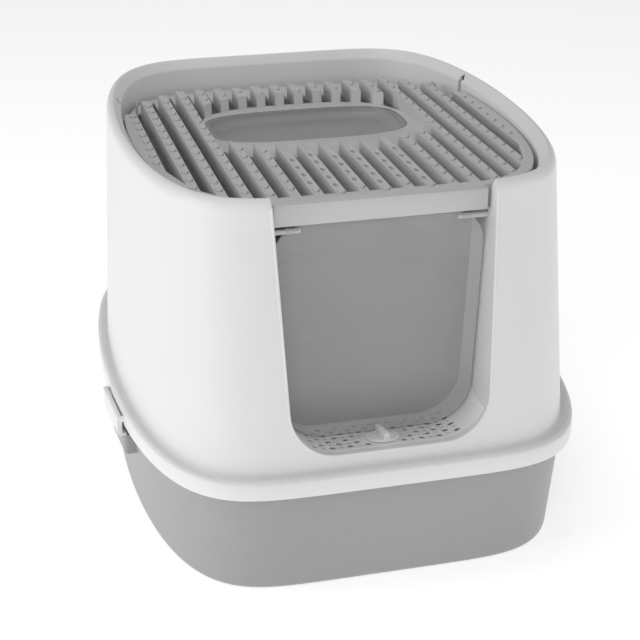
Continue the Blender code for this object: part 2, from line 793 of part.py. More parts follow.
def rear_cutter():
    """Everything above the low rear border, behind the ends of the slats."""
    low = (-200 * MM, 40 * MM, REAR_BORDER_TOP)
    cutter = add_object("above_rear", box("above_rear", low, (200 * MM, 230 * MM, 360 * MM)))
    ends = prism("slat_ends", plan_ring(SLAT_END_HALF, 0.0), 300 * MM, 380 * MM)
    boolean(cutter, "DIFFERENCE", add_object("slat_ends", ends))
    return cutter


def hatch_cutters():
    brim = oval_ring(shrink(HATCH_HALF, -HATCH_EASE), 0.0, HATCH_POWER, HATCH_CENTRE)
    for point in brim:
        point.x = max(-HATCH_SIDE, min(HATCH_SIDE, point.x))
    recess = prism("hatch_recess", brim, HATCH_FLOOR, LID_TOP + 20 * MM)
    rebate_ring = oval_ring(WINDOW_HALF, 0.0, WINDOW_POWER, WINDOW_CENTRE)
    rebate = prism("window_rebate", rebate_ring, WINDOW_SEAT, 355 * MM)
    opening_ring = oval_ring(shrink(WINDOW_HALF, WINDOW_SEAT_WIDTH), 0.0, WINDOW_POWER, WINDOW_CENTRE)
    opening = prism("window_opening", opening_ring, 290 * MM, 350 * MM)
    return [
        add_object("hatch_recess", recess),
        add_object("window_rebate", rebate),
        add_object("window_opening", opening),
    ]


def drain_hole_cutter():
    """Oblong holes through the middle slats in front of the window."""
    pegs = []
    for side in (-1, 1):
        for index in range(DRAINED_SLATS_EACH_SIDE):
            slat = side * (index + 0.5)
            stagger = 0.0 if round(slat + 0.5) % 2 else 0.5
            for step in range(5 if stagger == 0.0 else 4):
                y = SLOT_FRONT + (1.0 + step + stagger) * BUMP_PITCH
                pegs.append(drain_peg(slat * SLAT_PITCH, y))
    return add_object("drain_holes", joined("drain_holes", pegs))


def drain_peg(x, y):
    bm = bmesh.new()
    bmesh.ops.create_cone(bm, cap_ends=True, segments=10, radius1=1.0, radius2=1.0, depth=60 * MM)
    bmesh.ops.scale(bm, vec=(DRAIN_HOLE_WIDTH / 2, DRAIN_HOLE_LENGTH / 2, 1.0), verts=bm.verts)
    bmesh.ops.translate(bm, vec=(x, y, LID_TOP), verts=bm.verts)
    return mesh_from(bm, "drain_peg")


def make_lid():
    blank = prism("lid_grate", plan_ring(LID_HALF, 0.0), LID_BOTTOM, LID_TOP)
    lid = add_object("lid_grate", blank, material("lid_plastic", PALE_GREY, 0.45))
    board_low = (-BOARD_HALF_WIDTH, BOARD_FACE, BOARD_BOTTOM)
    board = box("lid_board", board_low, (BOARD_HALF_WIDTH, -190 * MM, LID_TOP))
    boolean(lid, "UNION", add_object("lid_board", board))
    boolean(lid, "DIFFERENCE", slot_cutter())
    boolean(lid, "DIFFERENCE", rear_cutter())
    for cutter in hatch_cutters():
        boolean(lid, "DIFFERENCE", cutter)
    boolean(lid, "DIFFERENCE", drain_hole_cutter())
    radius = LID_PIN_RADIUS + FIT_GAP
    bores = []
    for side in (-1, 1):
        start = (side * 158.4 * MM, LID_PIN_Y, LID_PIN_Z)
        bores.append(cylinder("bore", radius, start, (side * 180 * MM, LID_PIN_Y, LID_PIN_Z), 16))
    boolean(lid, "DIFFERENCE", add_object("lid_pin_bores", joined("lid_pin_bores", bores)))
    shift_to(lid, (0.0, LID_PIN_Y, LID_PIN_Z))
    smooth(lid)
    return lid


def make_lid_pins():
    surface = material("lid_pin_plastic", PALE_GREY, 0.4)
    for side, label in ((-1, "left"), (1, "right")):
        start = (side * 158.8 * MM, LID_PIN_Y, LID_PIN_Z)
        mesh = cylinder("lid_pin", LID_PIN_RADIUS, start, (side * 175.4 * MM, LID_PIN_Y, LID_PIN_Z), 16)
        pin = add_object(f"lid_pin_{label}", mesh, surface)
        shift_to(pin, (side * 170 * MM, LID_PIN_Y, LID_PIN_Z))
        smooth(pin)


def make_window():
    """A dished pane with a flat rim that lies in the lid's rebate."""
    rim = shrink(WINDOW_HALF, FIT_GAP)
    inner = shrink(WINDOW_HALF, WINDOW_SEAT_WIDTH + 1.2 * MM)
    low = WINDOW_SEAT + FIT_GAP + WINDOW_THICKNESS
    rings = [oval_ring(half, low, WINDOW_POWER, WINDOW_CENTRE) for half in (rim, inner)]
    for step in range(1, 5):
        share = step / 4
        half = (inner[0] * (1 - 0.32 * share), inner[1] * (1 - 0.42 * share))
        height = low - WINDOW_DISH_DEPTH * math.sin(share * math.pi / 2)
        rings.append(oval_ring(half, height, WINDOW_POWER, WINDOW_CENTRE))
    surface = material("window_smoke", SMOKE, 0.1, alpha=0.6)
    pane = add_object("lid_window", loft("lid_window", rings, cap_last=True), surface)
    solidify(pane, WINDOW_THICKNESS)
    shift_to(pane, (0.0, LID_PIN_Y, LID_PIN_Z))
    smooth(pane)
    return pane


# ---------------------------------------------------------------- side clips


def clip_profile():
    """Section of the right clip in the XZ plane: a roll round the pin, a plate and a hook at its foot."""
    inner = CLIP_PIN_X - CLIP_ROLL_RADIUS
    outer = CLIP_PIN_X + CLIP_ROLL_RADIUS
    hook = RIDGE_OUTER + FIT_GAP
    roll = []
    for step in range(7):
        turn = math.pi * step / 6
        x = CLIP_PIN_X + CLIP_ROLL_RADIUS * math.cos(turn)
        roll.append((x, CLIP_PIN_Z + CLIP_ROLL_RADIUS * math.sin(turn)))
    foot = [
        (inner, CLIP_FOOT + HOOK_THICKNESS),
        (hook, CLIP_FOOT + HOOK_THICKNESS),
        (hook, CLIP_FOOT),
        (outer - 2.6 * MM, CLIP_FOOT),
        (outer - 0.8 * MM, CLIP_FOOT + 1.4 * MM),
        (outer, CLIP_FOOT + 5.0 * MM),
    ]
    return roll + foot


def make_clips():
    surface = material("clip_plastic", WHITE, 0.4)
    near = [Vector((x, CLIP_Y - CLIP_LENGTH / 2, z)) for x, z in clip_profile()]
    far = [Vector((x, CLIP_Y + CLIP_LENGTH / 2, z)) for x, z in clip_profile()]
    right = turned(loft("clip_right", [near, far], cap_first=True, cap_last=True))
    left = mirrored("clip_left", right)
    bore = clip_rod(CLIP_PIN_RADIUS + FIT_GAP, CLIP_LENGTH)
    left_bore = mirrored("bore_left", bore)
    for mesh, rod, side, label in ((left, left_bore, -1, "left"), (right, bore, 1, "right")):
        clip = add_object(f"clip_{label}", mesh, surface)
        boolean(clip, "DIFFERENCE", add_object(f"clip_bore_{label}", rod))
        origin = (side * CLIP_PIN_X, CLIP_Y, CLIP_PIN_Z)
        shift_to(clip, origin)


def make_clip_pins():
    surface = material("clip_pin_steel", (0.6, 0.6, 0.6, 1.0), 0.3, metallic=1.0)
    right = clip_rod(CLIP_PIN_RADIUS, CLIP_LENGTH / 2 + EAR_GAP + EAR_THICKNESS - 0.4 * MM)
    left = mirrored("clip_pin_left", right)
    for mesh, side, label in ((left, -1, "left"), (right, 1, "right")):
        pin = add_object(f"clip_pin_{label}", mesh, surface)
        shift_to(pin, (side * CLIP_PIN_X, CLIP_Y, CLIP_PIN_Z))
        smooth(pin)


clear_scene()
PARTS = new_collection(BOX_NAME)
CUTTERS = new_collection("cutters")
make_tray()
make_hood()
make_step()
make_knob()
make_knob_cam()
make_flap()
make_flap_pins()
make_lid()
make_lid_pins()
make_window()
make_clips()
make_clip_pins()
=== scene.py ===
import math

import bmesh
import bpy
from mathutils import Matrix, Vector


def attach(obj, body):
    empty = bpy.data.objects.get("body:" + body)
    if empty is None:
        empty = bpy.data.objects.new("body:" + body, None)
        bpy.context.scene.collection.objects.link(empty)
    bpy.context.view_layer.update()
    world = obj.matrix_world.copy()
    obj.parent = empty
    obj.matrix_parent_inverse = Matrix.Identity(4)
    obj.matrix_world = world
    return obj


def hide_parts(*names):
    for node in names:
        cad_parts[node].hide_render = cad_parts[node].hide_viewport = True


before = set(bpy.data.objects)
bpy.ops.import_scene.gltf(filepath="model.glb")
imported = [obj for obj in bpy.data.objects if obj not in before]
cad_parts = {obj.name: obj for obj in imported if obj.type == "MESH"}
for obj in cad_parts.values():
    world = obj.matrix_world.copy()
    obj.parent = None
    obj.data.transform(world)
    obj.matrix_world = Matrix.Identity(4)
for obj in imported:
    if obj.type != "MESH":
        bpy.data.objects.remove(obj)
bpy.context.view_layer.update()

mm = 0.001

# the plan outline of every shell: |x/a| to the power given here, plus |y/b| squared, is one
outline = {
    "power": 6.1,
    "segments": 176,
    "trace": 2400,
}

hood = {
    "skirt": (211.9, 261.0),
    "skirtFoot": 98.3,
    "flangeTop": 115.0,
    "base": (202.2, 250.3),
    "baseZ": 116.6,
    "top": (191.6, 219.9),
    "topZ": 338.5,
    "ridgeIn": 6.9,
    "ridgeUp": 10.0,
    "well": (177.7, 206.0),
    "ledge": (171.3, 196.4),
    "ledgeZ": 316.3,
    "ledgeEnds": (44.0, 58.0),
    "lean": 0.0189,
    "wall": 2.6,
    "slotTop": 349.2,
    "slotHalf": 2.8,
    "slotWing": 4.6,
    "lipSide": 3.0,
    "lipRound": 2.9,
    "pinSocket": 2.7,
    # half width, half depth and height of each ring of the gutter between the lip and the wall
    "gutter": (
        (208.4, 257.0, 114.9),
        (207.9, 256.5, 113.6),
        (207.0, 255.6, 112.7),
        (205.6, 254.1, 112.3),
        (203.6, 251.9, 112.2),
        (202.8, 250.9, 112.6),
        (202.4, 250.5, 113.4),
    ),
    # the same for the underside of that gutter
    "gutterBelow": (
        (200.4, 248.4, 112.0),
        (201.4, 249.4, 111.2),
        (203.0, 251.0, 110.9),
        (206.2, 254.6, 110.9),
        (207.6, 256.3, 111.2),
    ),
}

door = {
    "topZ": 340.0,
    "topHalf": 94.0,
    "footZ": 127.4,
    "footHalf": 85.0,
    "corner": 40.0,
    "footY": -249.0,
    "fall": 0.17,
    "lining": 5.6,
    "liningBack": -166.0,
    "headroom": 315.9,
    "jambBack": -205.2,
    "bead": 1.15,
    # the cut through the doorway, which runs past the shell at both ends and above
    "cutTop": 390.0,
    "cutFront": -290.0,
    "cutBack": -150.0,
}


def newObject(name, bm, finish=None, body=None, smoothAngle=32):
    bmesh.ops.recalc_face_normals(bm, faces=bm.faces)
    mesh = bpy.data.meshes.new(name)
    bm.to_mesh(mesh)
    bm.free()
    piece = bpy.data.objects.new(name, mesh)
    bpy.context.scene.collection.objects.link(piece)
    if finish:
        mesh.materials.append(finish)
        shade(piece, smoothAngle)
        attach(piece, body)
    return piece


def shade(piece, angle=32):
    piece.data.shade_smooth()
    piece.data.set_sharp_from_angle(angle=math.radians(angle))


def settle(piece):
    # applies the modifiers to the mesh
    graph = bpy.context.evaluated_depsgraph_get()
    made = bpy.data.meshes.new_from_object(piece.evaluated_get(graph))
    piece.modifiers.clear()
    old = piece.data
    piece.data = made
    bpy.data.meshes.remove(old)


def combine(piece, other, operation):
    modifier = piece.modifiers.new("cut", "BOOLEAN")
    modifier.operation = operation
    modifier.object = other
    modifier.solver = "EXACT"
    settle(piece)
    bpy.data.objects.remove(other, do_unlink=True)


def roundEdges(piece, width, segments=2, angle=38):
    modifier = piece.modifiers.new("round", "BEVEL")
    modifier.width = width * mm
    modifier.segments = segments
    modifier.limit_method = "ANGLE"
    modifier.angle_limit = math.radians(angle)
    modifier.harden_normals = False
    settle(piece)


def bevel(bm, geom, width, segments, affect="EDGES", **settings):
    bmesh.ops.bevel(bm, geom=geom, offset=width * mm, segments=segments, profile=0.5, affect=affect,
                    material=-1, **settings)


def flatFace(bm, points):
    return bm.faces.new([bm.verts.new(Vector(point) * mm) for point in points])


def pull(bm, faces, run):
    # extrudes flat faces into a closed solid
    made = bmesh.ops.extrude_face_region(bm, geom=faces)["geom"]
    moved = [item for item in made if isinstance(item, bmesh.types.BMVert)]
    bmesh.ops.translate(bm, vec=Vector(run) * mm, verts=moved)
    bmesh.ops.recalc_face_normals(bm, faces=bm.faces)
    return bm


# ---- plan rings


def ringSpots(a, b):
    # even steps along the outline
    trace = outline["trace"]
    dense = []
    for index in range(trace):
        turn = 2 * math.pi * index / trace
        along = math.cos(turn)
        side = math.sqrt(max(0.0, 1 - abs(along) ** outline["power"]))
        dense.append(Vector((a * along, math.copysign(b * side, math.sin(turn)))))
    runs = [0.0]
    for index in range(1, trace + 1):
        runs.append(runs[-1] + (dense[index % trace] - dense[index - 1]).length)
    spots = []
    index = 0
    for stop in range(outline["segments"]):
        wanted = runs[-1] * stop / outline["segments"]
        while runs[index + 1] < wanted:
            index += 1
        share = (wanted - runs[index]) / max(1e-9, runs[index + 1] - runs[index])
        spots.append(dense[index].lerp(dense[(index + 1) % trace], share))
    return spots


def placeRing(ring, spotLayer, size):
    a, b, z = size[:3]
    lean = size[3] if len(size) > 3 else 0.0
    spots = ringSpots(a, b)
    if len(size) > 4:
        # a ledge that fades out towards the rear
        wide = ringSpots(size[4], size[5])
        start, end = hood["ledgeEnds"]
        for index, spot in enumerate(spots):
            fade = min(1.0, max(0.0, (wide[index].y - start) / (end - start)))
            spots[index] = spot.lerp(wide[index], fade)
    for vertex in ring:
        spot = spots[vertex[spotLayer]]
        vertex.co = Vector((spot.x, spot.y, z + lean * spot.y)) * mm


def sweepRings(sizes, closed=False):
    # rings of the plan outline joined in order, then closed on the first ring or capped at both ends
    bm = bmesh.new()
    spotLayer = bm.verts.layers.int.new("spot")
    ring = bmesh.ops.create_circle(bm, segments=outline["segments"], radius=1.0)["verts"]
    for index, vertex in enumerate(ring):
        vertex[spotLayer] = index
    placeRing(ring, spotLayer, sizes[0])
    firstEdges = list(bm.edges)
    if not closed:
        bmesh.ops.contextual_create(bm, geom=firstEdges)
    edges = firstEdges
    for size in sizes[1:]:
        made = bmesh.ops.extrude_edge_only(bm, edges=edges)["geom"]
        edges = [item for item in made if isinstance(item, bmesh.types.BMEdge)]
        ring = [item for item in made if isinstance(item, bmesh.types.BMVert)]
        placeRing(ring, spotLayer, size)
    if closed:
        bmesh.ops.bridge_loops(bm, edges=firstEdges + edges)
    else:
        bmesh.ops.contextual_create(bm, geom=edges)
    return bm


# ---- doorway shapes


def doorHalf(z):
    share = (z - door["footZ"]) / (door["topZ"] - door["footZ"])
    return door["footHalf"] + share * (door["topHalf"] - door["footHalf"])


def doorDrop(y):
    return door["fall"] * (y - door["footY"])


def doorFace(bm, grow, top, y, topCorner=0.0, lowered=True, segments=16):
    # the doorway outline as one face square to Y, with its lower corners rounded
    foot = door["footZ"] - grow
    drop = doorDrop(y) if lowered else 0.0
    corners = [
        (-doorHalf(foot) - grow, foot),
        (doorHalf(foot) + grow, foot),
        (doorHalf(top) + grow, top),
        (-doorHalf(top) - grow, top),
    ]
    verts = list(flatFace(bm, [(x, y, z - drop) for x, z in corners]).verts)
    sideLean = math.atan2(doorHalf(top) - doorHalf(foot), top - foot)
    reach = (door["corner"] + grow) / math.tan((math.pi / 2 + sideLean) / 2)
    bevel(bm, verts[:2], reach, segments, "VERTICES", offset_type="OFFSET")
    if topCorner:
        reach = topCorner / math.tan((math.pi / 2 - sideLean) / 2)
        bevel(bm, verts[2:], reach, segments, "VERTICES", offset_type="OFFSET")
    return bm.faces[:][0]


def doorBlock(grow, top, front, back, topCorner=0.0, level=False):
    bm = bmesh.new()
    face = doorFace(bm, grow, top, front, topCorner)
    fall = 0.0 if level else doorDrop(back) - doorDrop(front)
    return pull(bm, [face], (0, back - front, -fall))


def blockBetween(low, high):
    bm = bmesh.new()
    low = Vector(low) * mm
    high = Vector(high) * mm
    bmesh.ops.create_cube(bm, size=1.0)
    bmesh.ops.scale(bm, vec=high - low, verts=bm.verts)
    bmesh.ops.translate(bm, vec=(low + high) / 2, verts=bm.verts)
    return bm


def rodBetween(start, end, radius, segments=32):
    bm = bmesh.new()
    start = Vector(start) * mm
    end = Vector(end) * mm
    bmesh.ops.create_cone(bm, cap_ends=True, segments=segments, radius1=radius * mm, radius2=radius * mm,
                          depth=(end - start).length)
    turn = Vector((0, 0, 1)).rotation_difference(end - start).to_matrix().to_4x4()
    bmesh.ops.transform(bm, matrix=Matrix.Translation((start + end) / 2) @ turn, verts=bm.verts)
    return bm


def gather(parts):
    # several closed shapes in one mesh
    bm = bmesh.new()
    for part in parts:
        mesh = bpy.data.meshes.new("shape")
        part.to_mesh(mesh)
        part.free()
        bm.from_mesh(mesh)
        bpy.data.meshes.remove(mesh)
    return bm


def flipped(part):
    bmesh.ops.scale(part, vec=(-1, 1, 1), verts=part.verts)
    bmesh.ops.reverse_faces(part, faces=part.faces)
    return part


def cutter(bm):
    return newObject("cutter", bm)


def doorwayCut(front):
    return cutter(doorBlock(0.0, door["cutTop"], front, door["cutBack"]))


def aboveStep(z):
    # everything in the doorway over this height
    return cutter(blockBetween((-130, -300, z), (130, -100, 420)))


# ---- finishes


def nodeOf(tree, kind, **values):
    node = tree.nodes.new(kind)
    for key, value in values.items():
        if key in node.inputs:
            node.inputs[key].default_value = value
        else:
            setattr(node, key, value)
    return node


def mouldedPlastic(name, tone, drift, roughness, grain, grainHeight, speck=0.0):
    made = bpy.data.materials.new(name)
    made.use_nodes = True
    tree = made.node_tree
    shader = tree.nodes["Principled BSDF"]
    shader.inputs["IOR"].default_value = 1.49
    where = nodeOf(tree, "ShaderNodeTexCoord")
    flow = nodeOf(tree, "ShaderNodeTexNoise", Scale=7.0, Detail=4.0, Roughness=0.55)
    tree.links.new(where.outputs["Object"], flow.inputs["Vector"])
    ramp = nodeOf(tree, "ShaderNodeValToRGB")
    ramp.color_ramp.elements[0].position = 0.3
    ramp.color_ramp.elements[1].position = 0.72
    ramp.color_ramp.elements[0].color = [channel * (1 - drift) for channel in tone] + [1]
    ramp.color_ramp.elements[1].color = [min(1.0, channel * (1 + drift)) for channel in tone] + [1]
    tree.links.new(flow.outputs["Fac"], ramp.inputs["Fac"])
    colour = ramp.outputs["Color"]
    fine = nodeOf(tree, "ShaderNodeTexNoise", Scale=grain, Detail=3.0, Roughness=0.6)
    tree.links.new(where.outputs["Object"], fine.inputs["Vector"])
    if speck:
        dots = nodeOf(tree, "ShaderNodeMapRange")
        dots.inputs["From Min"].default_value = 0.36
        dots.inputs["From Max"].default_value = 0.66
        dots.inputs["To Min"].default_value = 1 - speck
        dots.inputs["To Max"].default_value = 1 + speck
        tree.links.new(fine.outputs["Fac"], dots.inputs["Value"])
        mix = nodeOf(tree, "ShaderNodeMix", data_type="RGBA", blend_type="MULTIPLY")
        mix.inputs["Factor"].default_value = 1.0
        tree.links.new(colour, mix.inputs[6])
        tree.links.new(dots.outputs["Result"], mix.inputs[7])
        colour = mix.outputs[2]
    tree.links.new(colour, shader.inputs["Base Color"])
    gloss = nodeOf(tree, "ShaderNodeMapRange")
    gloss.inputs["To Min"].default_value = roughness - 0.05
    gloss.inputs["To Max"].default_value = roughness + 0.06
    tree.links.new(flow.outputs["Fac"], gloss.inputs["Value"])
    tree.links.new(gloss.outputs["Result"], shader.inputs["Roughness"])
    bump = nodeOf(tree, "ShaderNodeBump", Strength=0.35, Distance=grainHeight * mm)
    tree.links.new(fine.outputs["Fac"], bump.inputs["Height"])
    tree.links.new(bump.outputs["Normal"], shader.inputs["Normal"])
    return made


def smokedPlastic(name, tone, alpha, roughness):
    made = mouldedPlastic(name, tone, 0.04, roughness, 1400.0, 0.012)
    shader = made.node_tree.nodes["Principled BSDF"]
    shader.inputs["Alpha"].default_value = alpha
    shader.inputs["Specular IOR Level"].default_value = 0.5
    return made


finishes = {
    "hood": mouldedPlastic("hoodWhite", (0.83, 0.83, 0.83), 0.012, 0.34, 900.0, 0.05),
    "step": mouldedPlastic("stepWhite", (0.9, 0.9, 0.9), 0.012, 0.38, 900.0, 0.05),
    "tray": mouldedPlastic("trayGrey", (0.37, 0.37, 0.372), 0.02, 0.42, 1100.0, 0.09, 0.05),
    "lid": mouldedPlastic("lidGrey", (0.6, 0.6, 0.602), 0.015, 0.4, 1000.0, 0.07, 0.03),
    "flap": smokedPlastic("smokedFlap", (0.74, 0.74, 0.742), 0.3, 0.16),
    "window": smokedPlastic("smokedWindow", (0.4, 0.4, 0.402), 0.8, 0.2),
    "pin": mouldedPlastic("pinGrey", (0.3, 0.3, 0.3), 0.05, 0.4, 900.0, 0.05),
}
print("finishes made")


# ---- camera, floor and light


def makeStage():
    camera = bpy.data.cameras.new("camera")
    camera.lens = 84.16
    camera.sensor_width = 36.0
    eye = bpy.data.objects.new("camera", camera)
    eye.location = (-0.3335, -1.3001, 0.7332)
    eye.rotation_euler = (math.radians(66.10), 0.0, math.radians(-14.42))
    bpy.context.scene.collection.objects.link(eye)
    bpy.context.scene.camera = eye

    bm = bmesh.new()
    bmesh.ops.create_grid(bm, x_segments=1, y_segments=1, size=6.0)
    floorFinish = bpy.data.materials.new("floorWhite")
    floorFinish.use_nodes = True
    shader = floorFinish.node_tree.nodes["Principled BSDF"]
    shader.inputs["Roughness"].default_value = 0.9
    shader.inputs["Specular IOR Level"].default_value = 0.1
    shader.inputs["Emission Color"].default_value = (1, 1, 1, 1)
    shader.inputs["Emission Strength"].default_value = 0.5
    noise = nodeOf(floorFinish.node_tree, "ShaderNodeTexNoise", Scale=3.0)
    ramp = nodeOf(floorFinish.node_tree, "ShaderNodeValToRGB")
    ramp.color_ramp.elements[0].color = (0.93, 0.93, 0.93, 1)
    ramp.color_ramp.elements[1].color = (0.95, 0.95, 0.95, 1)
    floorFinish.node_tree.links.new(noise.outputs["Fac"], ramp.inputs["Fac"])
    floorFinish.node_tree.links.new(ramp.outputs["Color"], shader.inputs["Base Color"])
    mesh = bpy.data.meshes.new("floor")
    bm.to_mesh(mesh)
    bm.free()
    mesh.materials.append(floorFinish)
    floor = bpy.data.objects.new("floor", mesh)
    floor.location.z = -0.0005
    bpy.context.scene.collection.objects.link(floor)

    world = bpy.data.worlds.new("studio")
    bpy.context.scene.world = world
    world.use_nodes = True
    world.node_tree.nodes["Background"].inputs["Color"].default_value = (1, 1, 1, 1)
    world.node_tree.nodes["Background"].inputs["Strength"].default_value = 0.36

    addSoftbox("keyLight", (-2.0, -0.3, 0.9), (0, 0, 0.2), 1.5, 12.5)
    addSoftbox("fillLight", (1.9, -0.9, 0.8), (0, 0, 0.2), 1.2, 4.4)
    addSoftbox("frontLight", (-0.7, -1.8, 1.5), (0, 0, 0.2), 1.0, 5.8)
    addSoftbox("topLight", (-0.2, 0.2, 2.2), (0, 0, 0.2), 1.0, 4.5)
    bpy.context.scene.view_settings.view_transform = "Standard"


def addSoftbox(name, place, aim, size, power):
    lamp = bpy.data.lights.new(name, "AREA")
    lamp.shape = "SQUARE"
    lamp.size = size
    lamp.energy = power
    holder = bpy.data.objects.new(name, lamp)
    holder.location = place
    holder.rotation_euler = (Vector(aim) - Vector(place)).to_track_quat("-Z", "Y").to_euler()
    bpy.context.scene.collection.objects.link(holder)


makeStage()
print("stage made")


# ---- hood


def wallSize(share):
    a = hood["base"][0] + share * (hood["top"][0] - hood["base"][0])
    b = hood["base"][1] + share * (hood["top"][1] - hood["base"][1])
    z = hood["baseZ"] + share * (hood["topZ"] - hood["baseZ"])
    return a, b, z, hood["lean"] * share


def grown(size, by, rise=0.0):
    lean = size[3] if len(size) > 3 else 0.0
    return size[0] + by, size[1] + by, size[2] + rise, lean


def outerSizes():
    a, b = hood["skirt"]
    shoulder = hood["flangeTop"] - hood["lipSide"]
    sizes = [
        (a - 0.9, b - 0.9, hood["skirtFoot"]),
        (a - 0.2, b - 0.2, hood["skirtFoot"] + 0.3),
        (a, b, hood["skirtFoot"] + 1.1),
        (a, b, shoulder),
    ]
    for index in range(1, 5):
        turn = math.radians(90 * index / 4)
        inset = hood["lipRound"] * (1 - math.cos(turn))
        sizes.append((a - inset, b - inset, shoulder + hood["lipRound"] * math.sin(turn)))
    sizes += hood["gutter"]
    for index in range(13):
        sizes.append(wallSize(index / 12))
    top = wallSize(1.0)
    for index in range(1, 9):
        turn = math.radians(90 * index / 8)
        sizes.append(grown(top, -hood["ridgeIn"] * (1 - math.cos(turn)), hood["ridgeUp"] * math.sin(turn)))
    a, b = hood["well"]
    lean = hood["lean"]
    sizes += [
        (a + 6.2, b + 6.2, 347.9, lean),
        (a + 5.4, b + 5.4, 347.0, lean),
        (a + 1.0, b + 1.0, 341.1, lean),
        (a + 0.3, b + 0.3, 340.2, lean),
        (a, b, 338.8, lean),
    ]
    return sizes


def innerSizes():
    a, b = hood["well"]
    ledge = hood["ledge"]
    wall = hood["wall"]
    level = hood["ledgeZ"]
    lean = hood["lean"]
    sizes = [
        (a, b, level),
        (ledge[0] + 0.4, ledge[1] + 0.4, level, 0.0, a - 0.1, b - 0.1),
        (ledge[0], ledge[1], level - 0.5, 0.0, a - 0.3, b - 0.3),
        (ledge[0], ledge[1], level - wall, 0.0, a - 0.3, b - 0.3),
        (a + wall * 0.6, b + wall * 0.6, level - wall),
        (a + wall, b + wall, level + 0.4),
        (a + wall, b + wall, 337.6, lean),
        (a + 6.3, b + 6.3, 344.6, lean),
        (a + 8.6, b + 8.6, 344.4, lean),
    ]
    for index in range(8, -1, -1):
        sizes.append(grown(wallSize(index / 8), -wall))
    sizes += hood["gutterBelow"]
    a, b = hood["skirt"]
    sizes += [
        (a - wall - 0.6, b - wall - 0.6, 112.0),
        (a - wall, b - wall, 111.2),
        (a - wall, b - wall, hood["skirtFoot"] + 0.9),
        (a - wall + 0.6, b - wall + 0.6, hood["skirtFoot"]),
    ]
    return sizes


def wallFront(x, z):
    share = (z - hood["baseZ"]) / (hood["topZ"] - hood["baseZ"])
    a, b = wallSize(share)[:2]
    return -b * math.sqrt(max(0.0, 1 - abs(x / a) ** outline["power"]))


def makeHood():
    shell = newObject("hoodShell", sweepRings(outerSizes() + innerSizes(), closed=True))
    # the lining of the doorway, kept inside the outer surface and open above the flap
    lining = cutter(doorBlock(door["lining"], 372, -270, door["liningBack"]))
    envelope = outerSizes() + [(hood["well"][0], hood["well"][1], 337.0, hood["lean"])]
    combine(lining, cutter(sweepRings(envelope)), "INTERSECT")
    headroom = blockBetween((-130, door["jambBack"], door["headroom"]), (130, 0, 400))
    combine(lining, cutter(headroom), "DIFFERENCE")
    combine(shell, lining, "UNION")
    combine(shell, doorwayCut(door["cutFront"]), "DIFFERENCE")
    # the seat of the step plate, and the window under its holes
    gap = step["gap"]
    front, back = step["front"], step["back"]
    rebate = cutter(doorBlock(step["thick"] + gap, step["blockTop"], front - 0.7, back + gap))
    combine(rebate, aboveStep(step["sideTop"] + gap), "DIFFERENCE")
    combine(shell, rebate, "DIFFERENCE")
    half, ledge = step["windowHalf"], step["windowLedge"]
    under = blockBetween((-half, front + ledge, 90), (half, back - ledge, 133))
    combine(shell, cutter(under), "DIFFERENCE")
    for side in (-1, 1):
        start, end = [(side * x, flap["y"], flap["pinZ"]) for x in flap["socketSpan"]]
        combine(shell, cutter(rodBetween(start, end, hood["pinSocket"])), "DIFFERENCE")
        combine(shell, cutter(pinSlot(side)), "DIFFERENCE")
    for side in (-1, 1):
        for end in (-1, 1):
            combine(shell, ear(side, clip["y"] + end * (clip["long"] / 2 + clip["earGap"])), "UNION")
    shell.data.materials.append(finishes["hood"])
    shade(shell)
    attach(shell, "hood")
    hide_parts("hood")
    makeDoorBead()


def pinSlot(side):
    # the upright slot, pointed at its top, that takes a lid pin
    y, z = lid["pin"]
    top = hood["slotTop"]
    half, wing = hood["slotHalf"], hood["slotWing"]
    corners = [
        (-half, z - 2.4),
        (half, z - 2.4),
        (half, top - 5.6),
        (wing, top - 5.0),
        (0, top),
        (-wing, top - 5.0),
        (-half, top - 5.6),
    ]
    inner, depth = 164.0, 18.5
    bm = bmesh.new()
    pull(bm, [flatFace(bm, [(inner, y + across, up) for across, up in corners])], (depth, 0, 0))
    if side < 0:
        flipped(bm)
    return bm


def planX(half, y):
    return half[0] * (1 - (y / half[1]) ** 2) ** (1 / outline["power"])


def ear(side, middle):
    # one of the two lugs that hold a clip's pin
    z = clip["pinZ"]
    roll = clip["roll"]
    inner = planX(hood["skirt"], clip["y"]) - 1.9
    bm = blockBetween((inner, middle - 1.5, z - roll), (clip["pinX"] + roll, middle + 1.5, z + roll))
    outer = [edge for edge in bm.edges if all(vertex.co.x > clip["pinX"] * mm for vertex in edge.verts)
             and abs(edge.verts[0].co.y - edge.verts[1].co.y) > 0.001]
    bevel(bm, outer, 2.2, 6)
    turnedClip(bm)
    if side < 0:
        flipped(bm)
    return cutter(bm)


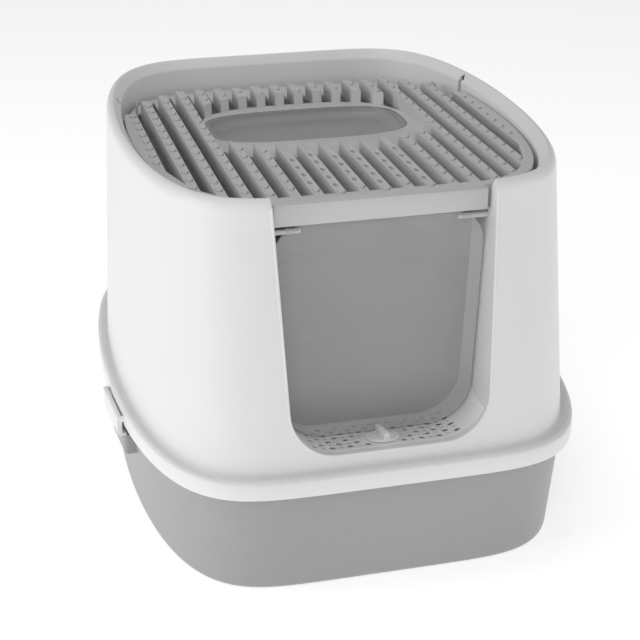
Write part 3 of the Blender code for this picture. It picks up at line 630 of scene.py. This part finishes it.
def makeDoorBead():
    # the rounded lip where the lining meets the front wall
    bm = bmesh.new()
    face = doorFace(bm, door["bead"] * 0.7, 338.0, door["footY"], lowered=False, segments=20)
    path = [vertex.co / mm for vertex in face.verts]
    bm.free()
    # the path starts at its top left corner and leaves out the top edge
    high = max(point.z for point in path)
    corner = Vector((-door["topHalf"], door["footY"], high))
    left = min(range(len(path)), key=lambda index: (path[index] - corner).length)
    path = path[left:] + path[:left]
    if path[1].x > path[0].x + 100:
        path = [path[0]] + path[:0:-1]
    curve = bpy.data.curves.new("doorBead", "CURVE")
    curve.dimensions = "3D"
    curve.bevel_depth = door["bead"] * mm
    curve.bevel_resolution = 4
    curve.use_fill_caps = True
    fine = []
    for before, after in zip(path, path[1:]):
        count = max(1, round((after - before).length / 6))
        fine += [before.lerp(after, index / count) for index in range(count)]
    fine.append(path[-1])
    spline = curve.splines.new("POLY")
    spline.points.add(len(fine) - 1)
    for point, spot in zip(spline.points, fine):
        y = wallFront(spot.x, spot.z) + door["bead"] * 0.62
        point.co = (spot.x * mm, y * mm, spot.z * mm, 1)
    holder = bpy.data.objects.new("curve", curve)
    bpy.context.scene.collection.objects.link(holder)
    graph = bpy.context.evaluated_depsgraph_get()
    bm = bmesh.new()
    bm.from_mesh(bpy.data.meshes.new_from_object(holder.evaluated_get(graph)))
    bmesh.ops.remove_doubles(bm, verts=bm.verts, dist=0.00002)
    bpy.data.objects.remove(holder, do_unlink=True)
    bead = newObject("doorBead", bm, finishes["hood"], "hood", 60)


# ---- step plate and knob

step = {
    "front": -239.0,
    "back": -170.0,
    "sideTop": 150.0,
    "thick": 1.4,
    "pitchX": 15.8,
    "pitchY": 8.2,
    "rows": 7,
    "firstRow": 9.5,
    "bigHole": 2.7,
    "smallHole": 1.35,
    "land": 2.8,
    "windowHalf": 66.0,
    "windowLedge": 5.0,
    "blockTop": 330.0,
    "gap": 0.3,
}

knob = {
    "y": -218.5,
    "radius": 14.8,
    "disc": 2.2,
    "finWide": 6.0,
    "finHigh": 7.0,
    "spindle": 4.0,
}


def stepPoint(y):
    return Vector((0, y, door["footZ"] - doorDrop(y)))


stepNormal = Vector((0, door["fall"], 1)).normalized()


def holeSpots(shift):
    # staggered rows, kept clear of the knob
    spots = []
    for row in range(step["rows"]):
        y = step["front"] + step["firstRow"] + row * step["pitchY"]
        for column in range(-5, 6):
            x = (column + (0.5 if row % 2 else 0.0) + shift) * step["pitchX"]
            if abs(x) < step["windowHalf"] and math.hypot(x, y - knob["y"]) > knob["radius"] + step["land"]:
                spots.append((x, y))
    return spots


def makeStep():
    plate = newObject("stepPlate", doorBlock(step["thick"], step["blockTop"], step["front"], step["back"]))
    combine(plate, doorwayCut(-260), "DIFFERENCE")
    combine(plate, aboveStep(step["sideTop"]), "DIFFERENCE")
    pegs = []
    for radius, shift, segments in ((step["bigHole"], 0.0, 20), (step["smallHole"], 0.5, 10)):
        for x, y in holeSpots(shift):
            pegs.append(rodBetween((x, y, 90), (x, y, 180), radius, segments))
    combine(plate, cutter(gather(pegs)), "DIFFERENCE")
    middle = stepPoint(knob["y"])
    bore = rodBetween(middle - stepNormal * 20, middle + stepNormal * 20, knob["spindle"] + 0.5)
    combine(plate, cutter(bore), "DIFFERENCE")
    roundEdges(plate, 0.2, 2, 50)
    plate.data.materials.append(finishes["step"])
    shade(plate)
    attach(plate, "hood")
    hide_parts("step_plate")


def makeKnob():
    middle = stepPoint(knob["y"])
    low = middle + stepNormal * 0.3
    disc = newObject("turnKnob", rodBetween(low, low + stepNormal * knob["disc"], knob["radius"], 72))
    roundEdges(disc, 0.7, 3, 60)
    reach = knob["radius"] + 0.4
    fin = blockBetween((-knob["finWide"] / 2, -reach, 0), (knob["finWide"] / 2, reach, knob["finHigh"]))
    bevel(fin, fin.edges[:], 1.9, 5)
    tilt = Vector((0, 0, 1)).rotation_difference(stepNormal).to_matrix().to_4x4()
    place = Matrix.Translation((low + stepNormal * knob["disc"] * 0.4) * mm) @ tilt
    bmesh.ops.transform(fin, matrix=place, verts=fin.verts)
    combine(disc, cutter(fin), "UNION")
    under = middle - stepNormal * (step["thick"] + 3.4)
    combine(disc, cutter(rodBetween(under, low + stepNormal, knob["spindle"], 40)), "UNION")
    disc.data.materials.append(finishes["step"])
    shade(disc)
    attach(disc, "knob")
    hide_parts("turn_knob")


# ---- entry flap

flap = {
    "y": -200.0,
    "thick": 2.6,
    "gap": 1.7,
    "top": 315.4,
    "topCorner": 28.0,
    "pinZ": 310.5,
    "knuckle": 3.3,
    "bore": 2.5,
    # where each of these starts and ends, out from the middle
    "knuckleSpan": (70.0, 79.5),
    "boreSpan": (66.0, 92.0),
    "socketSpan": (84.0, 96.4),
}


def makeFlap():
    half = flap["thick"] / 2
    top = flap["top"] + doorDrop(flap["y"])
    block = doorBlock(-flap["gap"], top, flap["y"] - half, flap["y"] + half, flap["topCorner"], level=True)
    panel = newObject("flapPanel", block)
    roundEdges(panel, 0.9, 3, 60)
    for side in (-1, 1):
        start, end = [(side * x, flap["y"], flap["pinZ"]) for x in flap["knuckleSpan"]]
        combine(panel, cutter(rodBetween(start, end, flap["knuckle"])), "UNION")
        start, end = [(side * x, flap["y"], flap["pinZ"]) for x in flap["boreSpan"]]
        combine(panel, cutter(rodBetween(start, end, flap["bore"])), "DIFFERENCE")
    panel.data.materials.append(finishes["flap"])
    shade(panel)
    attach(panel, "flap")
    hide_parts("flap")


# ---- lid

lid = {
    "half": (175.1, 198.2),
    "bottom": 316.6,
    "top": 335.3,
    "pitch": 19.2,
    "slot": 10.6,
    "slotFront": -187.5,
    "border": 8.0,
    "rearTop": 320.6,
    "board": (90.0, -207.0, -189.0, 317.4),
    "hatch": (104.0, 85.0, 3.0, 35.5),
    "hatchSide": 101.7,
    "window": (96.5, 51.0, 3.4, 51.0),
    "hatchFloor": 323.2,
    "windowSeat": 320.8,
    "seat": 4.5,
    "hatchEase": 0.4,
    "pin": (96.0, 325.6),
    "pinSpan": (158.4, 180.0),
    "pinBore": 2.3,
    "bump": 21.0,
    "ovalSteps": 96,
    "drain": (2.2, 4.3),
    "drainRows": 5,
    "drained": 3,
    "pad": (2.6, 4.0),
    "padRise": 0.7,
}

# where each slat ends at the rear, from the middle outwards
slatEnds = (153.0, 153.0, 153.0, 153.0, 153.0, 153.0, 142.0, 126.0, 83.0)


def ovalY(shape, x):
    # half the depth of an oval at x, and its middle
    a, b, power, centre = shape
    return b * max(0.0, 1 - abs(x / a) ** power) ** (1 / power), centre


def planY(half, x):
    return half[1] * math.sqrt(max(0.0, 1 - abs(x / half[0]) ** outline["power"]))


def slotShapes():
    # each slot runs from front to rear, or stops at the hatch and starts again behind it
    shapes = []
    inner = (lid["half"][0] - lid["border"], lid["half"][1] - lid["border"])
    for index in range(-8, 9):
        x = index * lid["pitch"]
        sides = (x - lid["slot"] / 2, x + lid["slot"] / 2)
        fronts = [max(lid["slotFront"], -planY(inner, side)) for side in sides]
        rears = [planY(inner, side) for side in sides]
        reach = [ovalY(lid["hatch"], side) for side in sides]
        if min(height for height, _ in reach) > 0:
            before = [centre - height for height, centre in reach]
            after = [centre + height for height, centre in reach]
            shapes.append((sides, fronts, before))
            shapes.append((sides, after, rears))
        else:
            shapes.append((sides, fronts, rears))
    return shapes


def slotCutter():
    parts = []
    for sides, fronts, rears in slotShapes():
        bm = bmesh.new()
        corners = [(sides[0], fronts[0]), (sides[1], fronts[1]), (sides[1], rears[1]), (sides[0], rears[0])]
        parts.append(pull(bm, [flatFace(bm, [(x, y, 300) for x, y in corners])], (0, 0, 60)))
    return cutter(gather(parts))


def rearCutter():
    # clears the tops of the slats behind their rear ends, in steps that turn in the slots
    right = []
    for index, end in enumerate(slatEnds):
        right.append((index * lid["pitch"], end))
        right.append(((index + 1) * lid["pitch"], end))
    left = [(-x, y) for x, y in reversed(right)][:-1]
    corners = [(-210, 240)] + [(-210, left[0][1])] + left + right[1:] + [(210, right[-1][1]), (210, 240)]
    cleaned = []
    for corner in corners:
        if not cleaned or (Vector(corner) - Vector(cleaned[-1])).length > 0.01:
            cleaned.append(corner)
    bm = bmesh.new()
    flatFace(bm, [(x, y, lid["rearTop"]) for x, y in cleaned])
    bmesh.ops.dissolve_limit(bm, angle_limit=0.01, verts=bm.verts, edges=bm.edges)
    return cutter(pull(bm, bm.faces[:], (0, 0, 40)))


def placeOval(ring, spotLayer, shape, z):
    a, b, power, centre = shape
    for vertex in ring:
        turn = 2 * math.pi * vertex[spotLayer] / lid["ovalSteps"]
        reach = (abs(math.cos(turn)) ** power + abs(math.sin(turn)) ** power) ** (-1 / power)
        vertex.co = Vector((a * reach * math.cos(turn), centre + b * reach * math.sin(turn), z)) * mm


def ovalStack(layers):
    # rings joined in order, closed at both ends
    bm = bmesh.new()
    spotLayer = bm.verts.layers.int.new("spot")
    ring = bmesh.ops.create_circle(bm, segments=lid["ovalSteps"], radius=1.0)["verts"]
    for index, vertex in enumerate(ring):
        vertex[spotLayer] = index
    placeOval(ring, spotLayer, *layers[0])
    edges = list(bm.edges)
    bmesh.ops.contextual_create(bm, geom=edges)
    for shape, z in layers[1:]:
        made = bmesh.ops.extrude_edge_only(bm, edges=edges)["geom"]
        edges = [item for item in made if isinstance(item, bmesh.types.BMEdge)]
        placeOval([item for item in made if isinstance(item, bmesh.types.BMVert)], spotLayer, shape, z)
    bmesh.ops.contextual_create(bm, geom=edges)
    bmesh.ops.recalc_face_normals(bm, faces=bm.faces)
    return bm


def ovalGrown(shape, by):
    return shape[0] + by, shape[1] + by, shape[2], shape[3]


def slatRow(index, side):
    # the middle of a slat, and how far its row of holes or pads is shifted
    middle = side * (index + 0.5)
    return middle * lid["pitch"], 0.0 if round(middle + 0.5) % 2 else 0.5


def drainPegs():
    # the long holes in the front halves of the six slats in the middle
    pegs = []
    for side in (-1, 1):
        for index in range(lid["drained"]):
            x, stagger = slatRow(index, side)
            for count in range(lid["drainRows"] - (1 if stagger else 0)):
                y = lid["slotFront"] + (1.0 + count + stagger) * lid["bump"]
                peg = rodBetween((0, 0, 300), (0, 0, 350), 1.0, 16)
                bmesh.ops.scale(peg, vec=(*lid["drain"], 1), verts=peg.verts)
                bmesh.ops.translate(peg, vec=(x * mm, y * mm, 0), verts=peg.verts)
                pegs.append(peg)
    return cutter(gather(pegs))


def makeLid():
    a, b = lid["half"]
    grate = newObject("lidGrate", sweepRings([(a, b, lid["bottom"]), (a, b, lid["top"])]))
    half, front, back, bottom = lid["board"]
    combine(grate, cutter(blockBetween((-half, front, bottom), (half, back, lid["top"]))), "UNION")
    combine(grate, slotCutter(), "DIFFERENCE")
    combine(grate, rearCutter(), "DIFFERENCE")
    # the hatch is a flat pocket with straight sides
    hatch = ovalGrown(lid["hatch"], lid["hatchEase"])
    recess = ovalStack([(hatch, lid["hatchFloor"]), (hatch, lid["top"] + 20)])
    for vertex in recess.verts:
        vertex.co.x = max(-lid["hatchSide"] * mm, min(lid["hatchSide"] * mm, vertex.co.x))
    combine(grate, cutter(recess), "DIFFERENCE")
    seat = ovalStack([(lid["window"], lid["windowSeat"]), (lid["window"], 350)])
    combine(grate, cutter(seat), "DIFFERENCE")
    hole = ovalGrown(lid["window"], -lid["seat"])
    combine(grate, cutter(ovalStack([(hole, 300), (hole, 350)])), "DIFFERENCE")
    combine(grate, drainPegs(), "DIFFERENCE")
    combine(grate, moats(), "DIFFERENCE")
    for side in (-1, 1):
        start, end = [(side * x, *lid["pin"]) for x in lid["pinSpan"]]
        combine(grate, cutter(rodBetween(start, end, lid["pinBore"])), "DIFFERENCE")
    roundEdges(grate, 0.75, 2, 40)
    grate.data.materials.append(finishes["lid"])
    shade(grate)
    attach(grate, "lid")
    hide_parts("lid_grate")
    makeBumps()


def padSpots():
    # a pad wherever a slat has neither a drain hole nor the hatch
    spots = []
    start = lid["slotFront"]
    for index, end in enumerate(slatEnds):
        for side in (-1, 1):
            x, stagger = slatRow(index, side)
            front = max(start, -planY((lid["half"][0] - 6, lid["half"][1] - 6), x))
            height, centre = ovalY(lid["hatch"], x)
            y = start + stagger * lid["bump"]
            while y < end - 5:
                inHatch = height > 0 and centre - height - 6 < y < centre + height + 6
                drained = index < lid["drained"] and start + 8 < y < 0
                if y > front + 4 and not inHatch and not drained:
                    spots.append((x, y))
                y += lid["bump"]
            if index < lid["drained"]:
                spots.append((x, start + (12.0 if stagger else 3.0)))
    return spots


def padShape(x, y, wide, long, low, high):
    bm = bmesh.new()
    bmesh.ops.create_cone(bm, cap_ends=True, segments=18, radius1=1.0, radius2=1.0, depth=(high - low) * mm)
    bmesh.ops.scale(bm, vec=(wide * mm, long * mm, 1), verts=bm.verts)
    bmesh.ops.translate(bm, vec=(x * mm, y * mm, (low + high) / 2 * mm), verts=bm.verts)
    return bm


def moats():
    # the groove that runs round the front of each pad
    top = lid["top"]
    wide, long = lid["pad"]
    rings = []
    for x, y in padSpots():
        rings.append(padShape(x + 0.3, y - 0.9, wide + 0.75, long + 0.8, top - 1.6, top + 3))
    return cutter(gather(rings))


def makeBumps():
    # the grip pads, each standing in its groove
    top = lid["top"]
    wide, long = lid["pad"]
    pads = []
    for x, y in padSpots():
        pad = padShape(x, y, wide, long, top - 2.2, top + lid["padRise"])
        upper = [edge for edge in pad.edges if all(vertex.co.z > top * mm for vertex in edge.verts)]
        bevel(pad, upper, 0.5, 2)
        pads.append(pad)
    bumps = newObject("gripBumps", gather(pads), finishes["lid"], "lid")


def makeWindow():
    # a pane with a flat rim that lies on its seat and a dish hanging inside it
    rim = ovalGrown(lid["window"], -0.3)
    lip = ovalGrown(lid["window"], -5.7)
    low = lid["windowSeat"] + 0.3
    thick = 2.2
    acrossIn, alongIn, depth = 15, 13, 8.0
    dish = []
    for index in range(1, 11):
        turn = math.radians(90 * (index / 10))
        bend = 1 - math.cos(turn)
        shape = (lip[0] - acrossIn * bend, lip[1] - alongIn * bend, lip[2], lip[3])
        dish.append((shape, low + thick - depth * math.sin(turn)))
    bottom, floor = dish[-1]
    for share in (0.75, 0.5, 0.25):
        dish.append(((bottom[0] * share, bottom[1] * share, lip[2] - 1 + share, lip[3]), floor))
    layers = dish[::-1]
    layers += [(lip, low + thick), (ovalGrown(rim, -0.5), low + thick), (rim, low + thick * 0.75), (rim, low)]
    layers += [(ovalGrown(lip, -0.6), low)]
    layers += [(ovalGrown(shape, -0.6), z - thick) for shape, z in dish]
    pane = newObject("lidPane", ovalStack(layers), finishes["window"], "lid", 50)
    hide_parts("lid_window")


# ---- tray

tray = {
    "floor": (196.2, 243.5),
    "lip": (208.6, 257.6),
    "wallTop": (203.4, 252.3),
    "collar": (196.6, 242.4),
    "collarTop": 150.0,
    "collarGap": 98.0,
    # outer face, bottom, top and edge radius of the hook's ridge and of the block under it
    "catches": ((206.6, 91.2, 94.6, 1.0), (209.4, 66.0, 85.4, 4.5)),
}


def makeTray():
    a, b = tray["floor"]
    sizes = [(a - 9, b - 9, 0.0)]
    for index in range(7):
        turn = math.radians(90 * index / 6)
        inset = 5.0 * (1 - math.sin(turn))
        sizes.append((a - inset, b - inset, 5.0 * (1 - math.cos(turn))))
    wallA, wallB = tray["wallTop"]
    for index in range(1, 7):
        share = index / 6
        sizes.append((a + share * (wallA - a), b + share * (wallB - b), 5.0 + share * 97.0))
    lipA, lipB = tray["lip"]
    sizes += [
        (wallA + 0.6, wallB + 0.6, 104.4),
        (lipA - 0.8, lipB - 0.8, 105.9),
        (lipA, lipB, 106.8),
        (lipA, lipB, 109.2),
        (lipA - 0.8, lipB - 0.8, 110.1),
        (lipA - 2.0, lipB - 2.0, 110.3),
        (wallA - 1.2, wallB - 1.2, 110.1),
        (wallA - 2.6, wallB - 2.6, 108.6),
        (wallA - 3.0, wallB - 3.0, 104.0),
    ]
    for index in range(5, -1, -1):
        share = index / 6
        sizes.append((a - 2.8 + share * (wallA - a), b - 2.8 + share * (wallB - b), 8.0 + share * 94.0))
    sizes += [
        (a - 3.4, b - 3.4, 5.4),
        (a - 5.4, b - 5.4, 3.4),
        (a - 8.4, b - 8.4, 2.8),
    ]
    pan = newObject("trayPan", sweepRings(sizes))
    combine(pan, makeCollar(), "UNION")
    for side in (-1, 1):
        for catch in tray["catches"]:
            combine(pan, catchBlock(side, *catch), "UNION")
    pan.data.materials.append(finishes["tray"])
    shade(pan)
    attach(pan, "tray")
    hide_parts("tray")


def makeCollar():
    # the upright collar inside the foot of the hood, open at the doorway
    wallA, wallB = tray["wallTop"]
    a, b = tray["collar"]
    top = tray["collarTop"]
    sizes = [
        (wallA - 1.4, wallB - 1.4, 101.0),
        (a + 1.6, b + 1.6, 110.0),
        (a + 0.3, b + 0.3, 114.0),
        (a, b, 118.0),
        (a, b, top - 0.7),
        (a - 0.4, b - 0.4, top),
        (a - 1.4, b - 1.4, top),
        (a - 1.8, b - 1.8, top - 0.7),
        (a - 1.8, b - 1.8, 118.0),
        (a - 1.6, b - 1.6, 113.0),
        (wallA - 4.2, wallB - 4.2, 103.0),
        (wallA - 3.6, wallB - 3.6, 100.0),
    ]
    collar = newObject("collar", sweepRings(sizes, closed=True))
    half = tray["collarGap"]
    combine(collar, cutter(blockBetween((-half, -300, 104.5), (half, -100, 200))), "DIFFERENCE")
    return collar


# ---- clips

clip = {
    "y": -66.0,
    "long": 60.0,
    "turn": -4.07,
    "pinX": 212.8,
    "pinZ": 106.0,
    "roll": 2.4,
    "foot": 87.4,
    "hook": 206.9,
    "bore": 1.5,
    "earGap": 2.1,
}


def turnedClip(bm):
    # the clips lie along the skirt, a few degrees off the box's own direction
    middle = Matrix.Translation(Vector((clip["pinX"], clip["y"], 0)) * mm)
    turn = middle @ Matrix.Rotation(math.radians(clip["turn"]), 4, "Z") @ middle.inverted()
    bmesh.ops.transform(bm, matrix=turn, verts=bm.verts)
    return bm


def catchBlock(side, outer, low, high, softness):
    a, b = tray["floor"]
    share = ((low + high) / 2 - 5) / 97
    half = (a + share * (tray["wallTop"][0] - a), b + share * (tray["wallTop"][1] - b))
    reach = clip["long"] / 2 - 4
    inner = planX(half, clip["y"]) - 2.1
    bm = blockBetween((inner, clip["y"] - reach, low), (outer, clip["y"] + reach, high))
    outerEdges = [edge for edge in bm.edges if all(vertex.co.x > (outer - 0.1) * mm for vertex in edge.verts)]
    bevel(bm, outerEdges, softness, 6)
    turnedClip(bm)
    if side < 0:
        flipped(bm)
    return cutter(bm)


def makeClip(side, label):
    # rolled over its pin at the top, hooked inwards at its foot
    x, z, roll, foot = clip["pinX"], clip["pinZ"], clip["roll"], clip["foot"]
    profile = []
    for index in range(13):
        turn = math.pi * index / 12
        profile.append((x + roll * math.cos(turn), z + roll * math.sin(turn)))
    profile += [
        (x - roll, foot + 3.0),
        (clip["hook"], foot + 3.0),
        (clip["hook"], foot),
        (x + roll - 2.6, foot),
        (x + roll - 1.5, foot + 0.5),
        (x + roll - 0.7, foot + 1.6),
        (x + roll - 0.2, foot + 3.2),
        (x + roll, foot + 5.0),
    ]
    bm = bmesh.new()
    start = clip["y"] - clip["long"] / 2
    face = flatFace(bm, [(across, start, up) for across, up in profile])
    turnedClip(pull(bm, [face], (0, clip["long"], 0)))
    rod = turnedClip(rodBetween((x, clip["y"] - 60, z), (x, clip["y"] + 60, z), clip["bore"], 24))
    if side < 0:
        flipped(bm)
        flipped(rod)
    catch = newObject("clip" + label, bm)
    combine(catch, cutter(rod), "DIFFERENCE")
    roundEdges(catch, 0.6, 3, 40)
    catch.data.materials.append(finishes["hood"])
    shade(catch)
    body = "clip_" + label.lower()
    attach(catch, body)
    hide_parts(body)


makeHood()
print("hood made")
makeStep()
makeKnob()
print("step and knob made")
makeFlap()
print("flap made")
makeLid()
makeWindow()
print("lid made")
makeTray()
print("tray made")
makeClip(-1, "Left")
makeClip(1, "Right")
print("clips made")

for name, finish in (("flap_pin_left", "lid"), ("flap_pin_right", "lid"), ("lid_pin_left", "lid"),
                     ("lid_pin_right", "lid"), ("knob_cam", "lid"), ("clip_pin_left", "pin"),
                     ("clip_pin_right", "pin")):
    for slot in bpy.data.objects[name].material_slots:
        slot.material = finishes[finish]
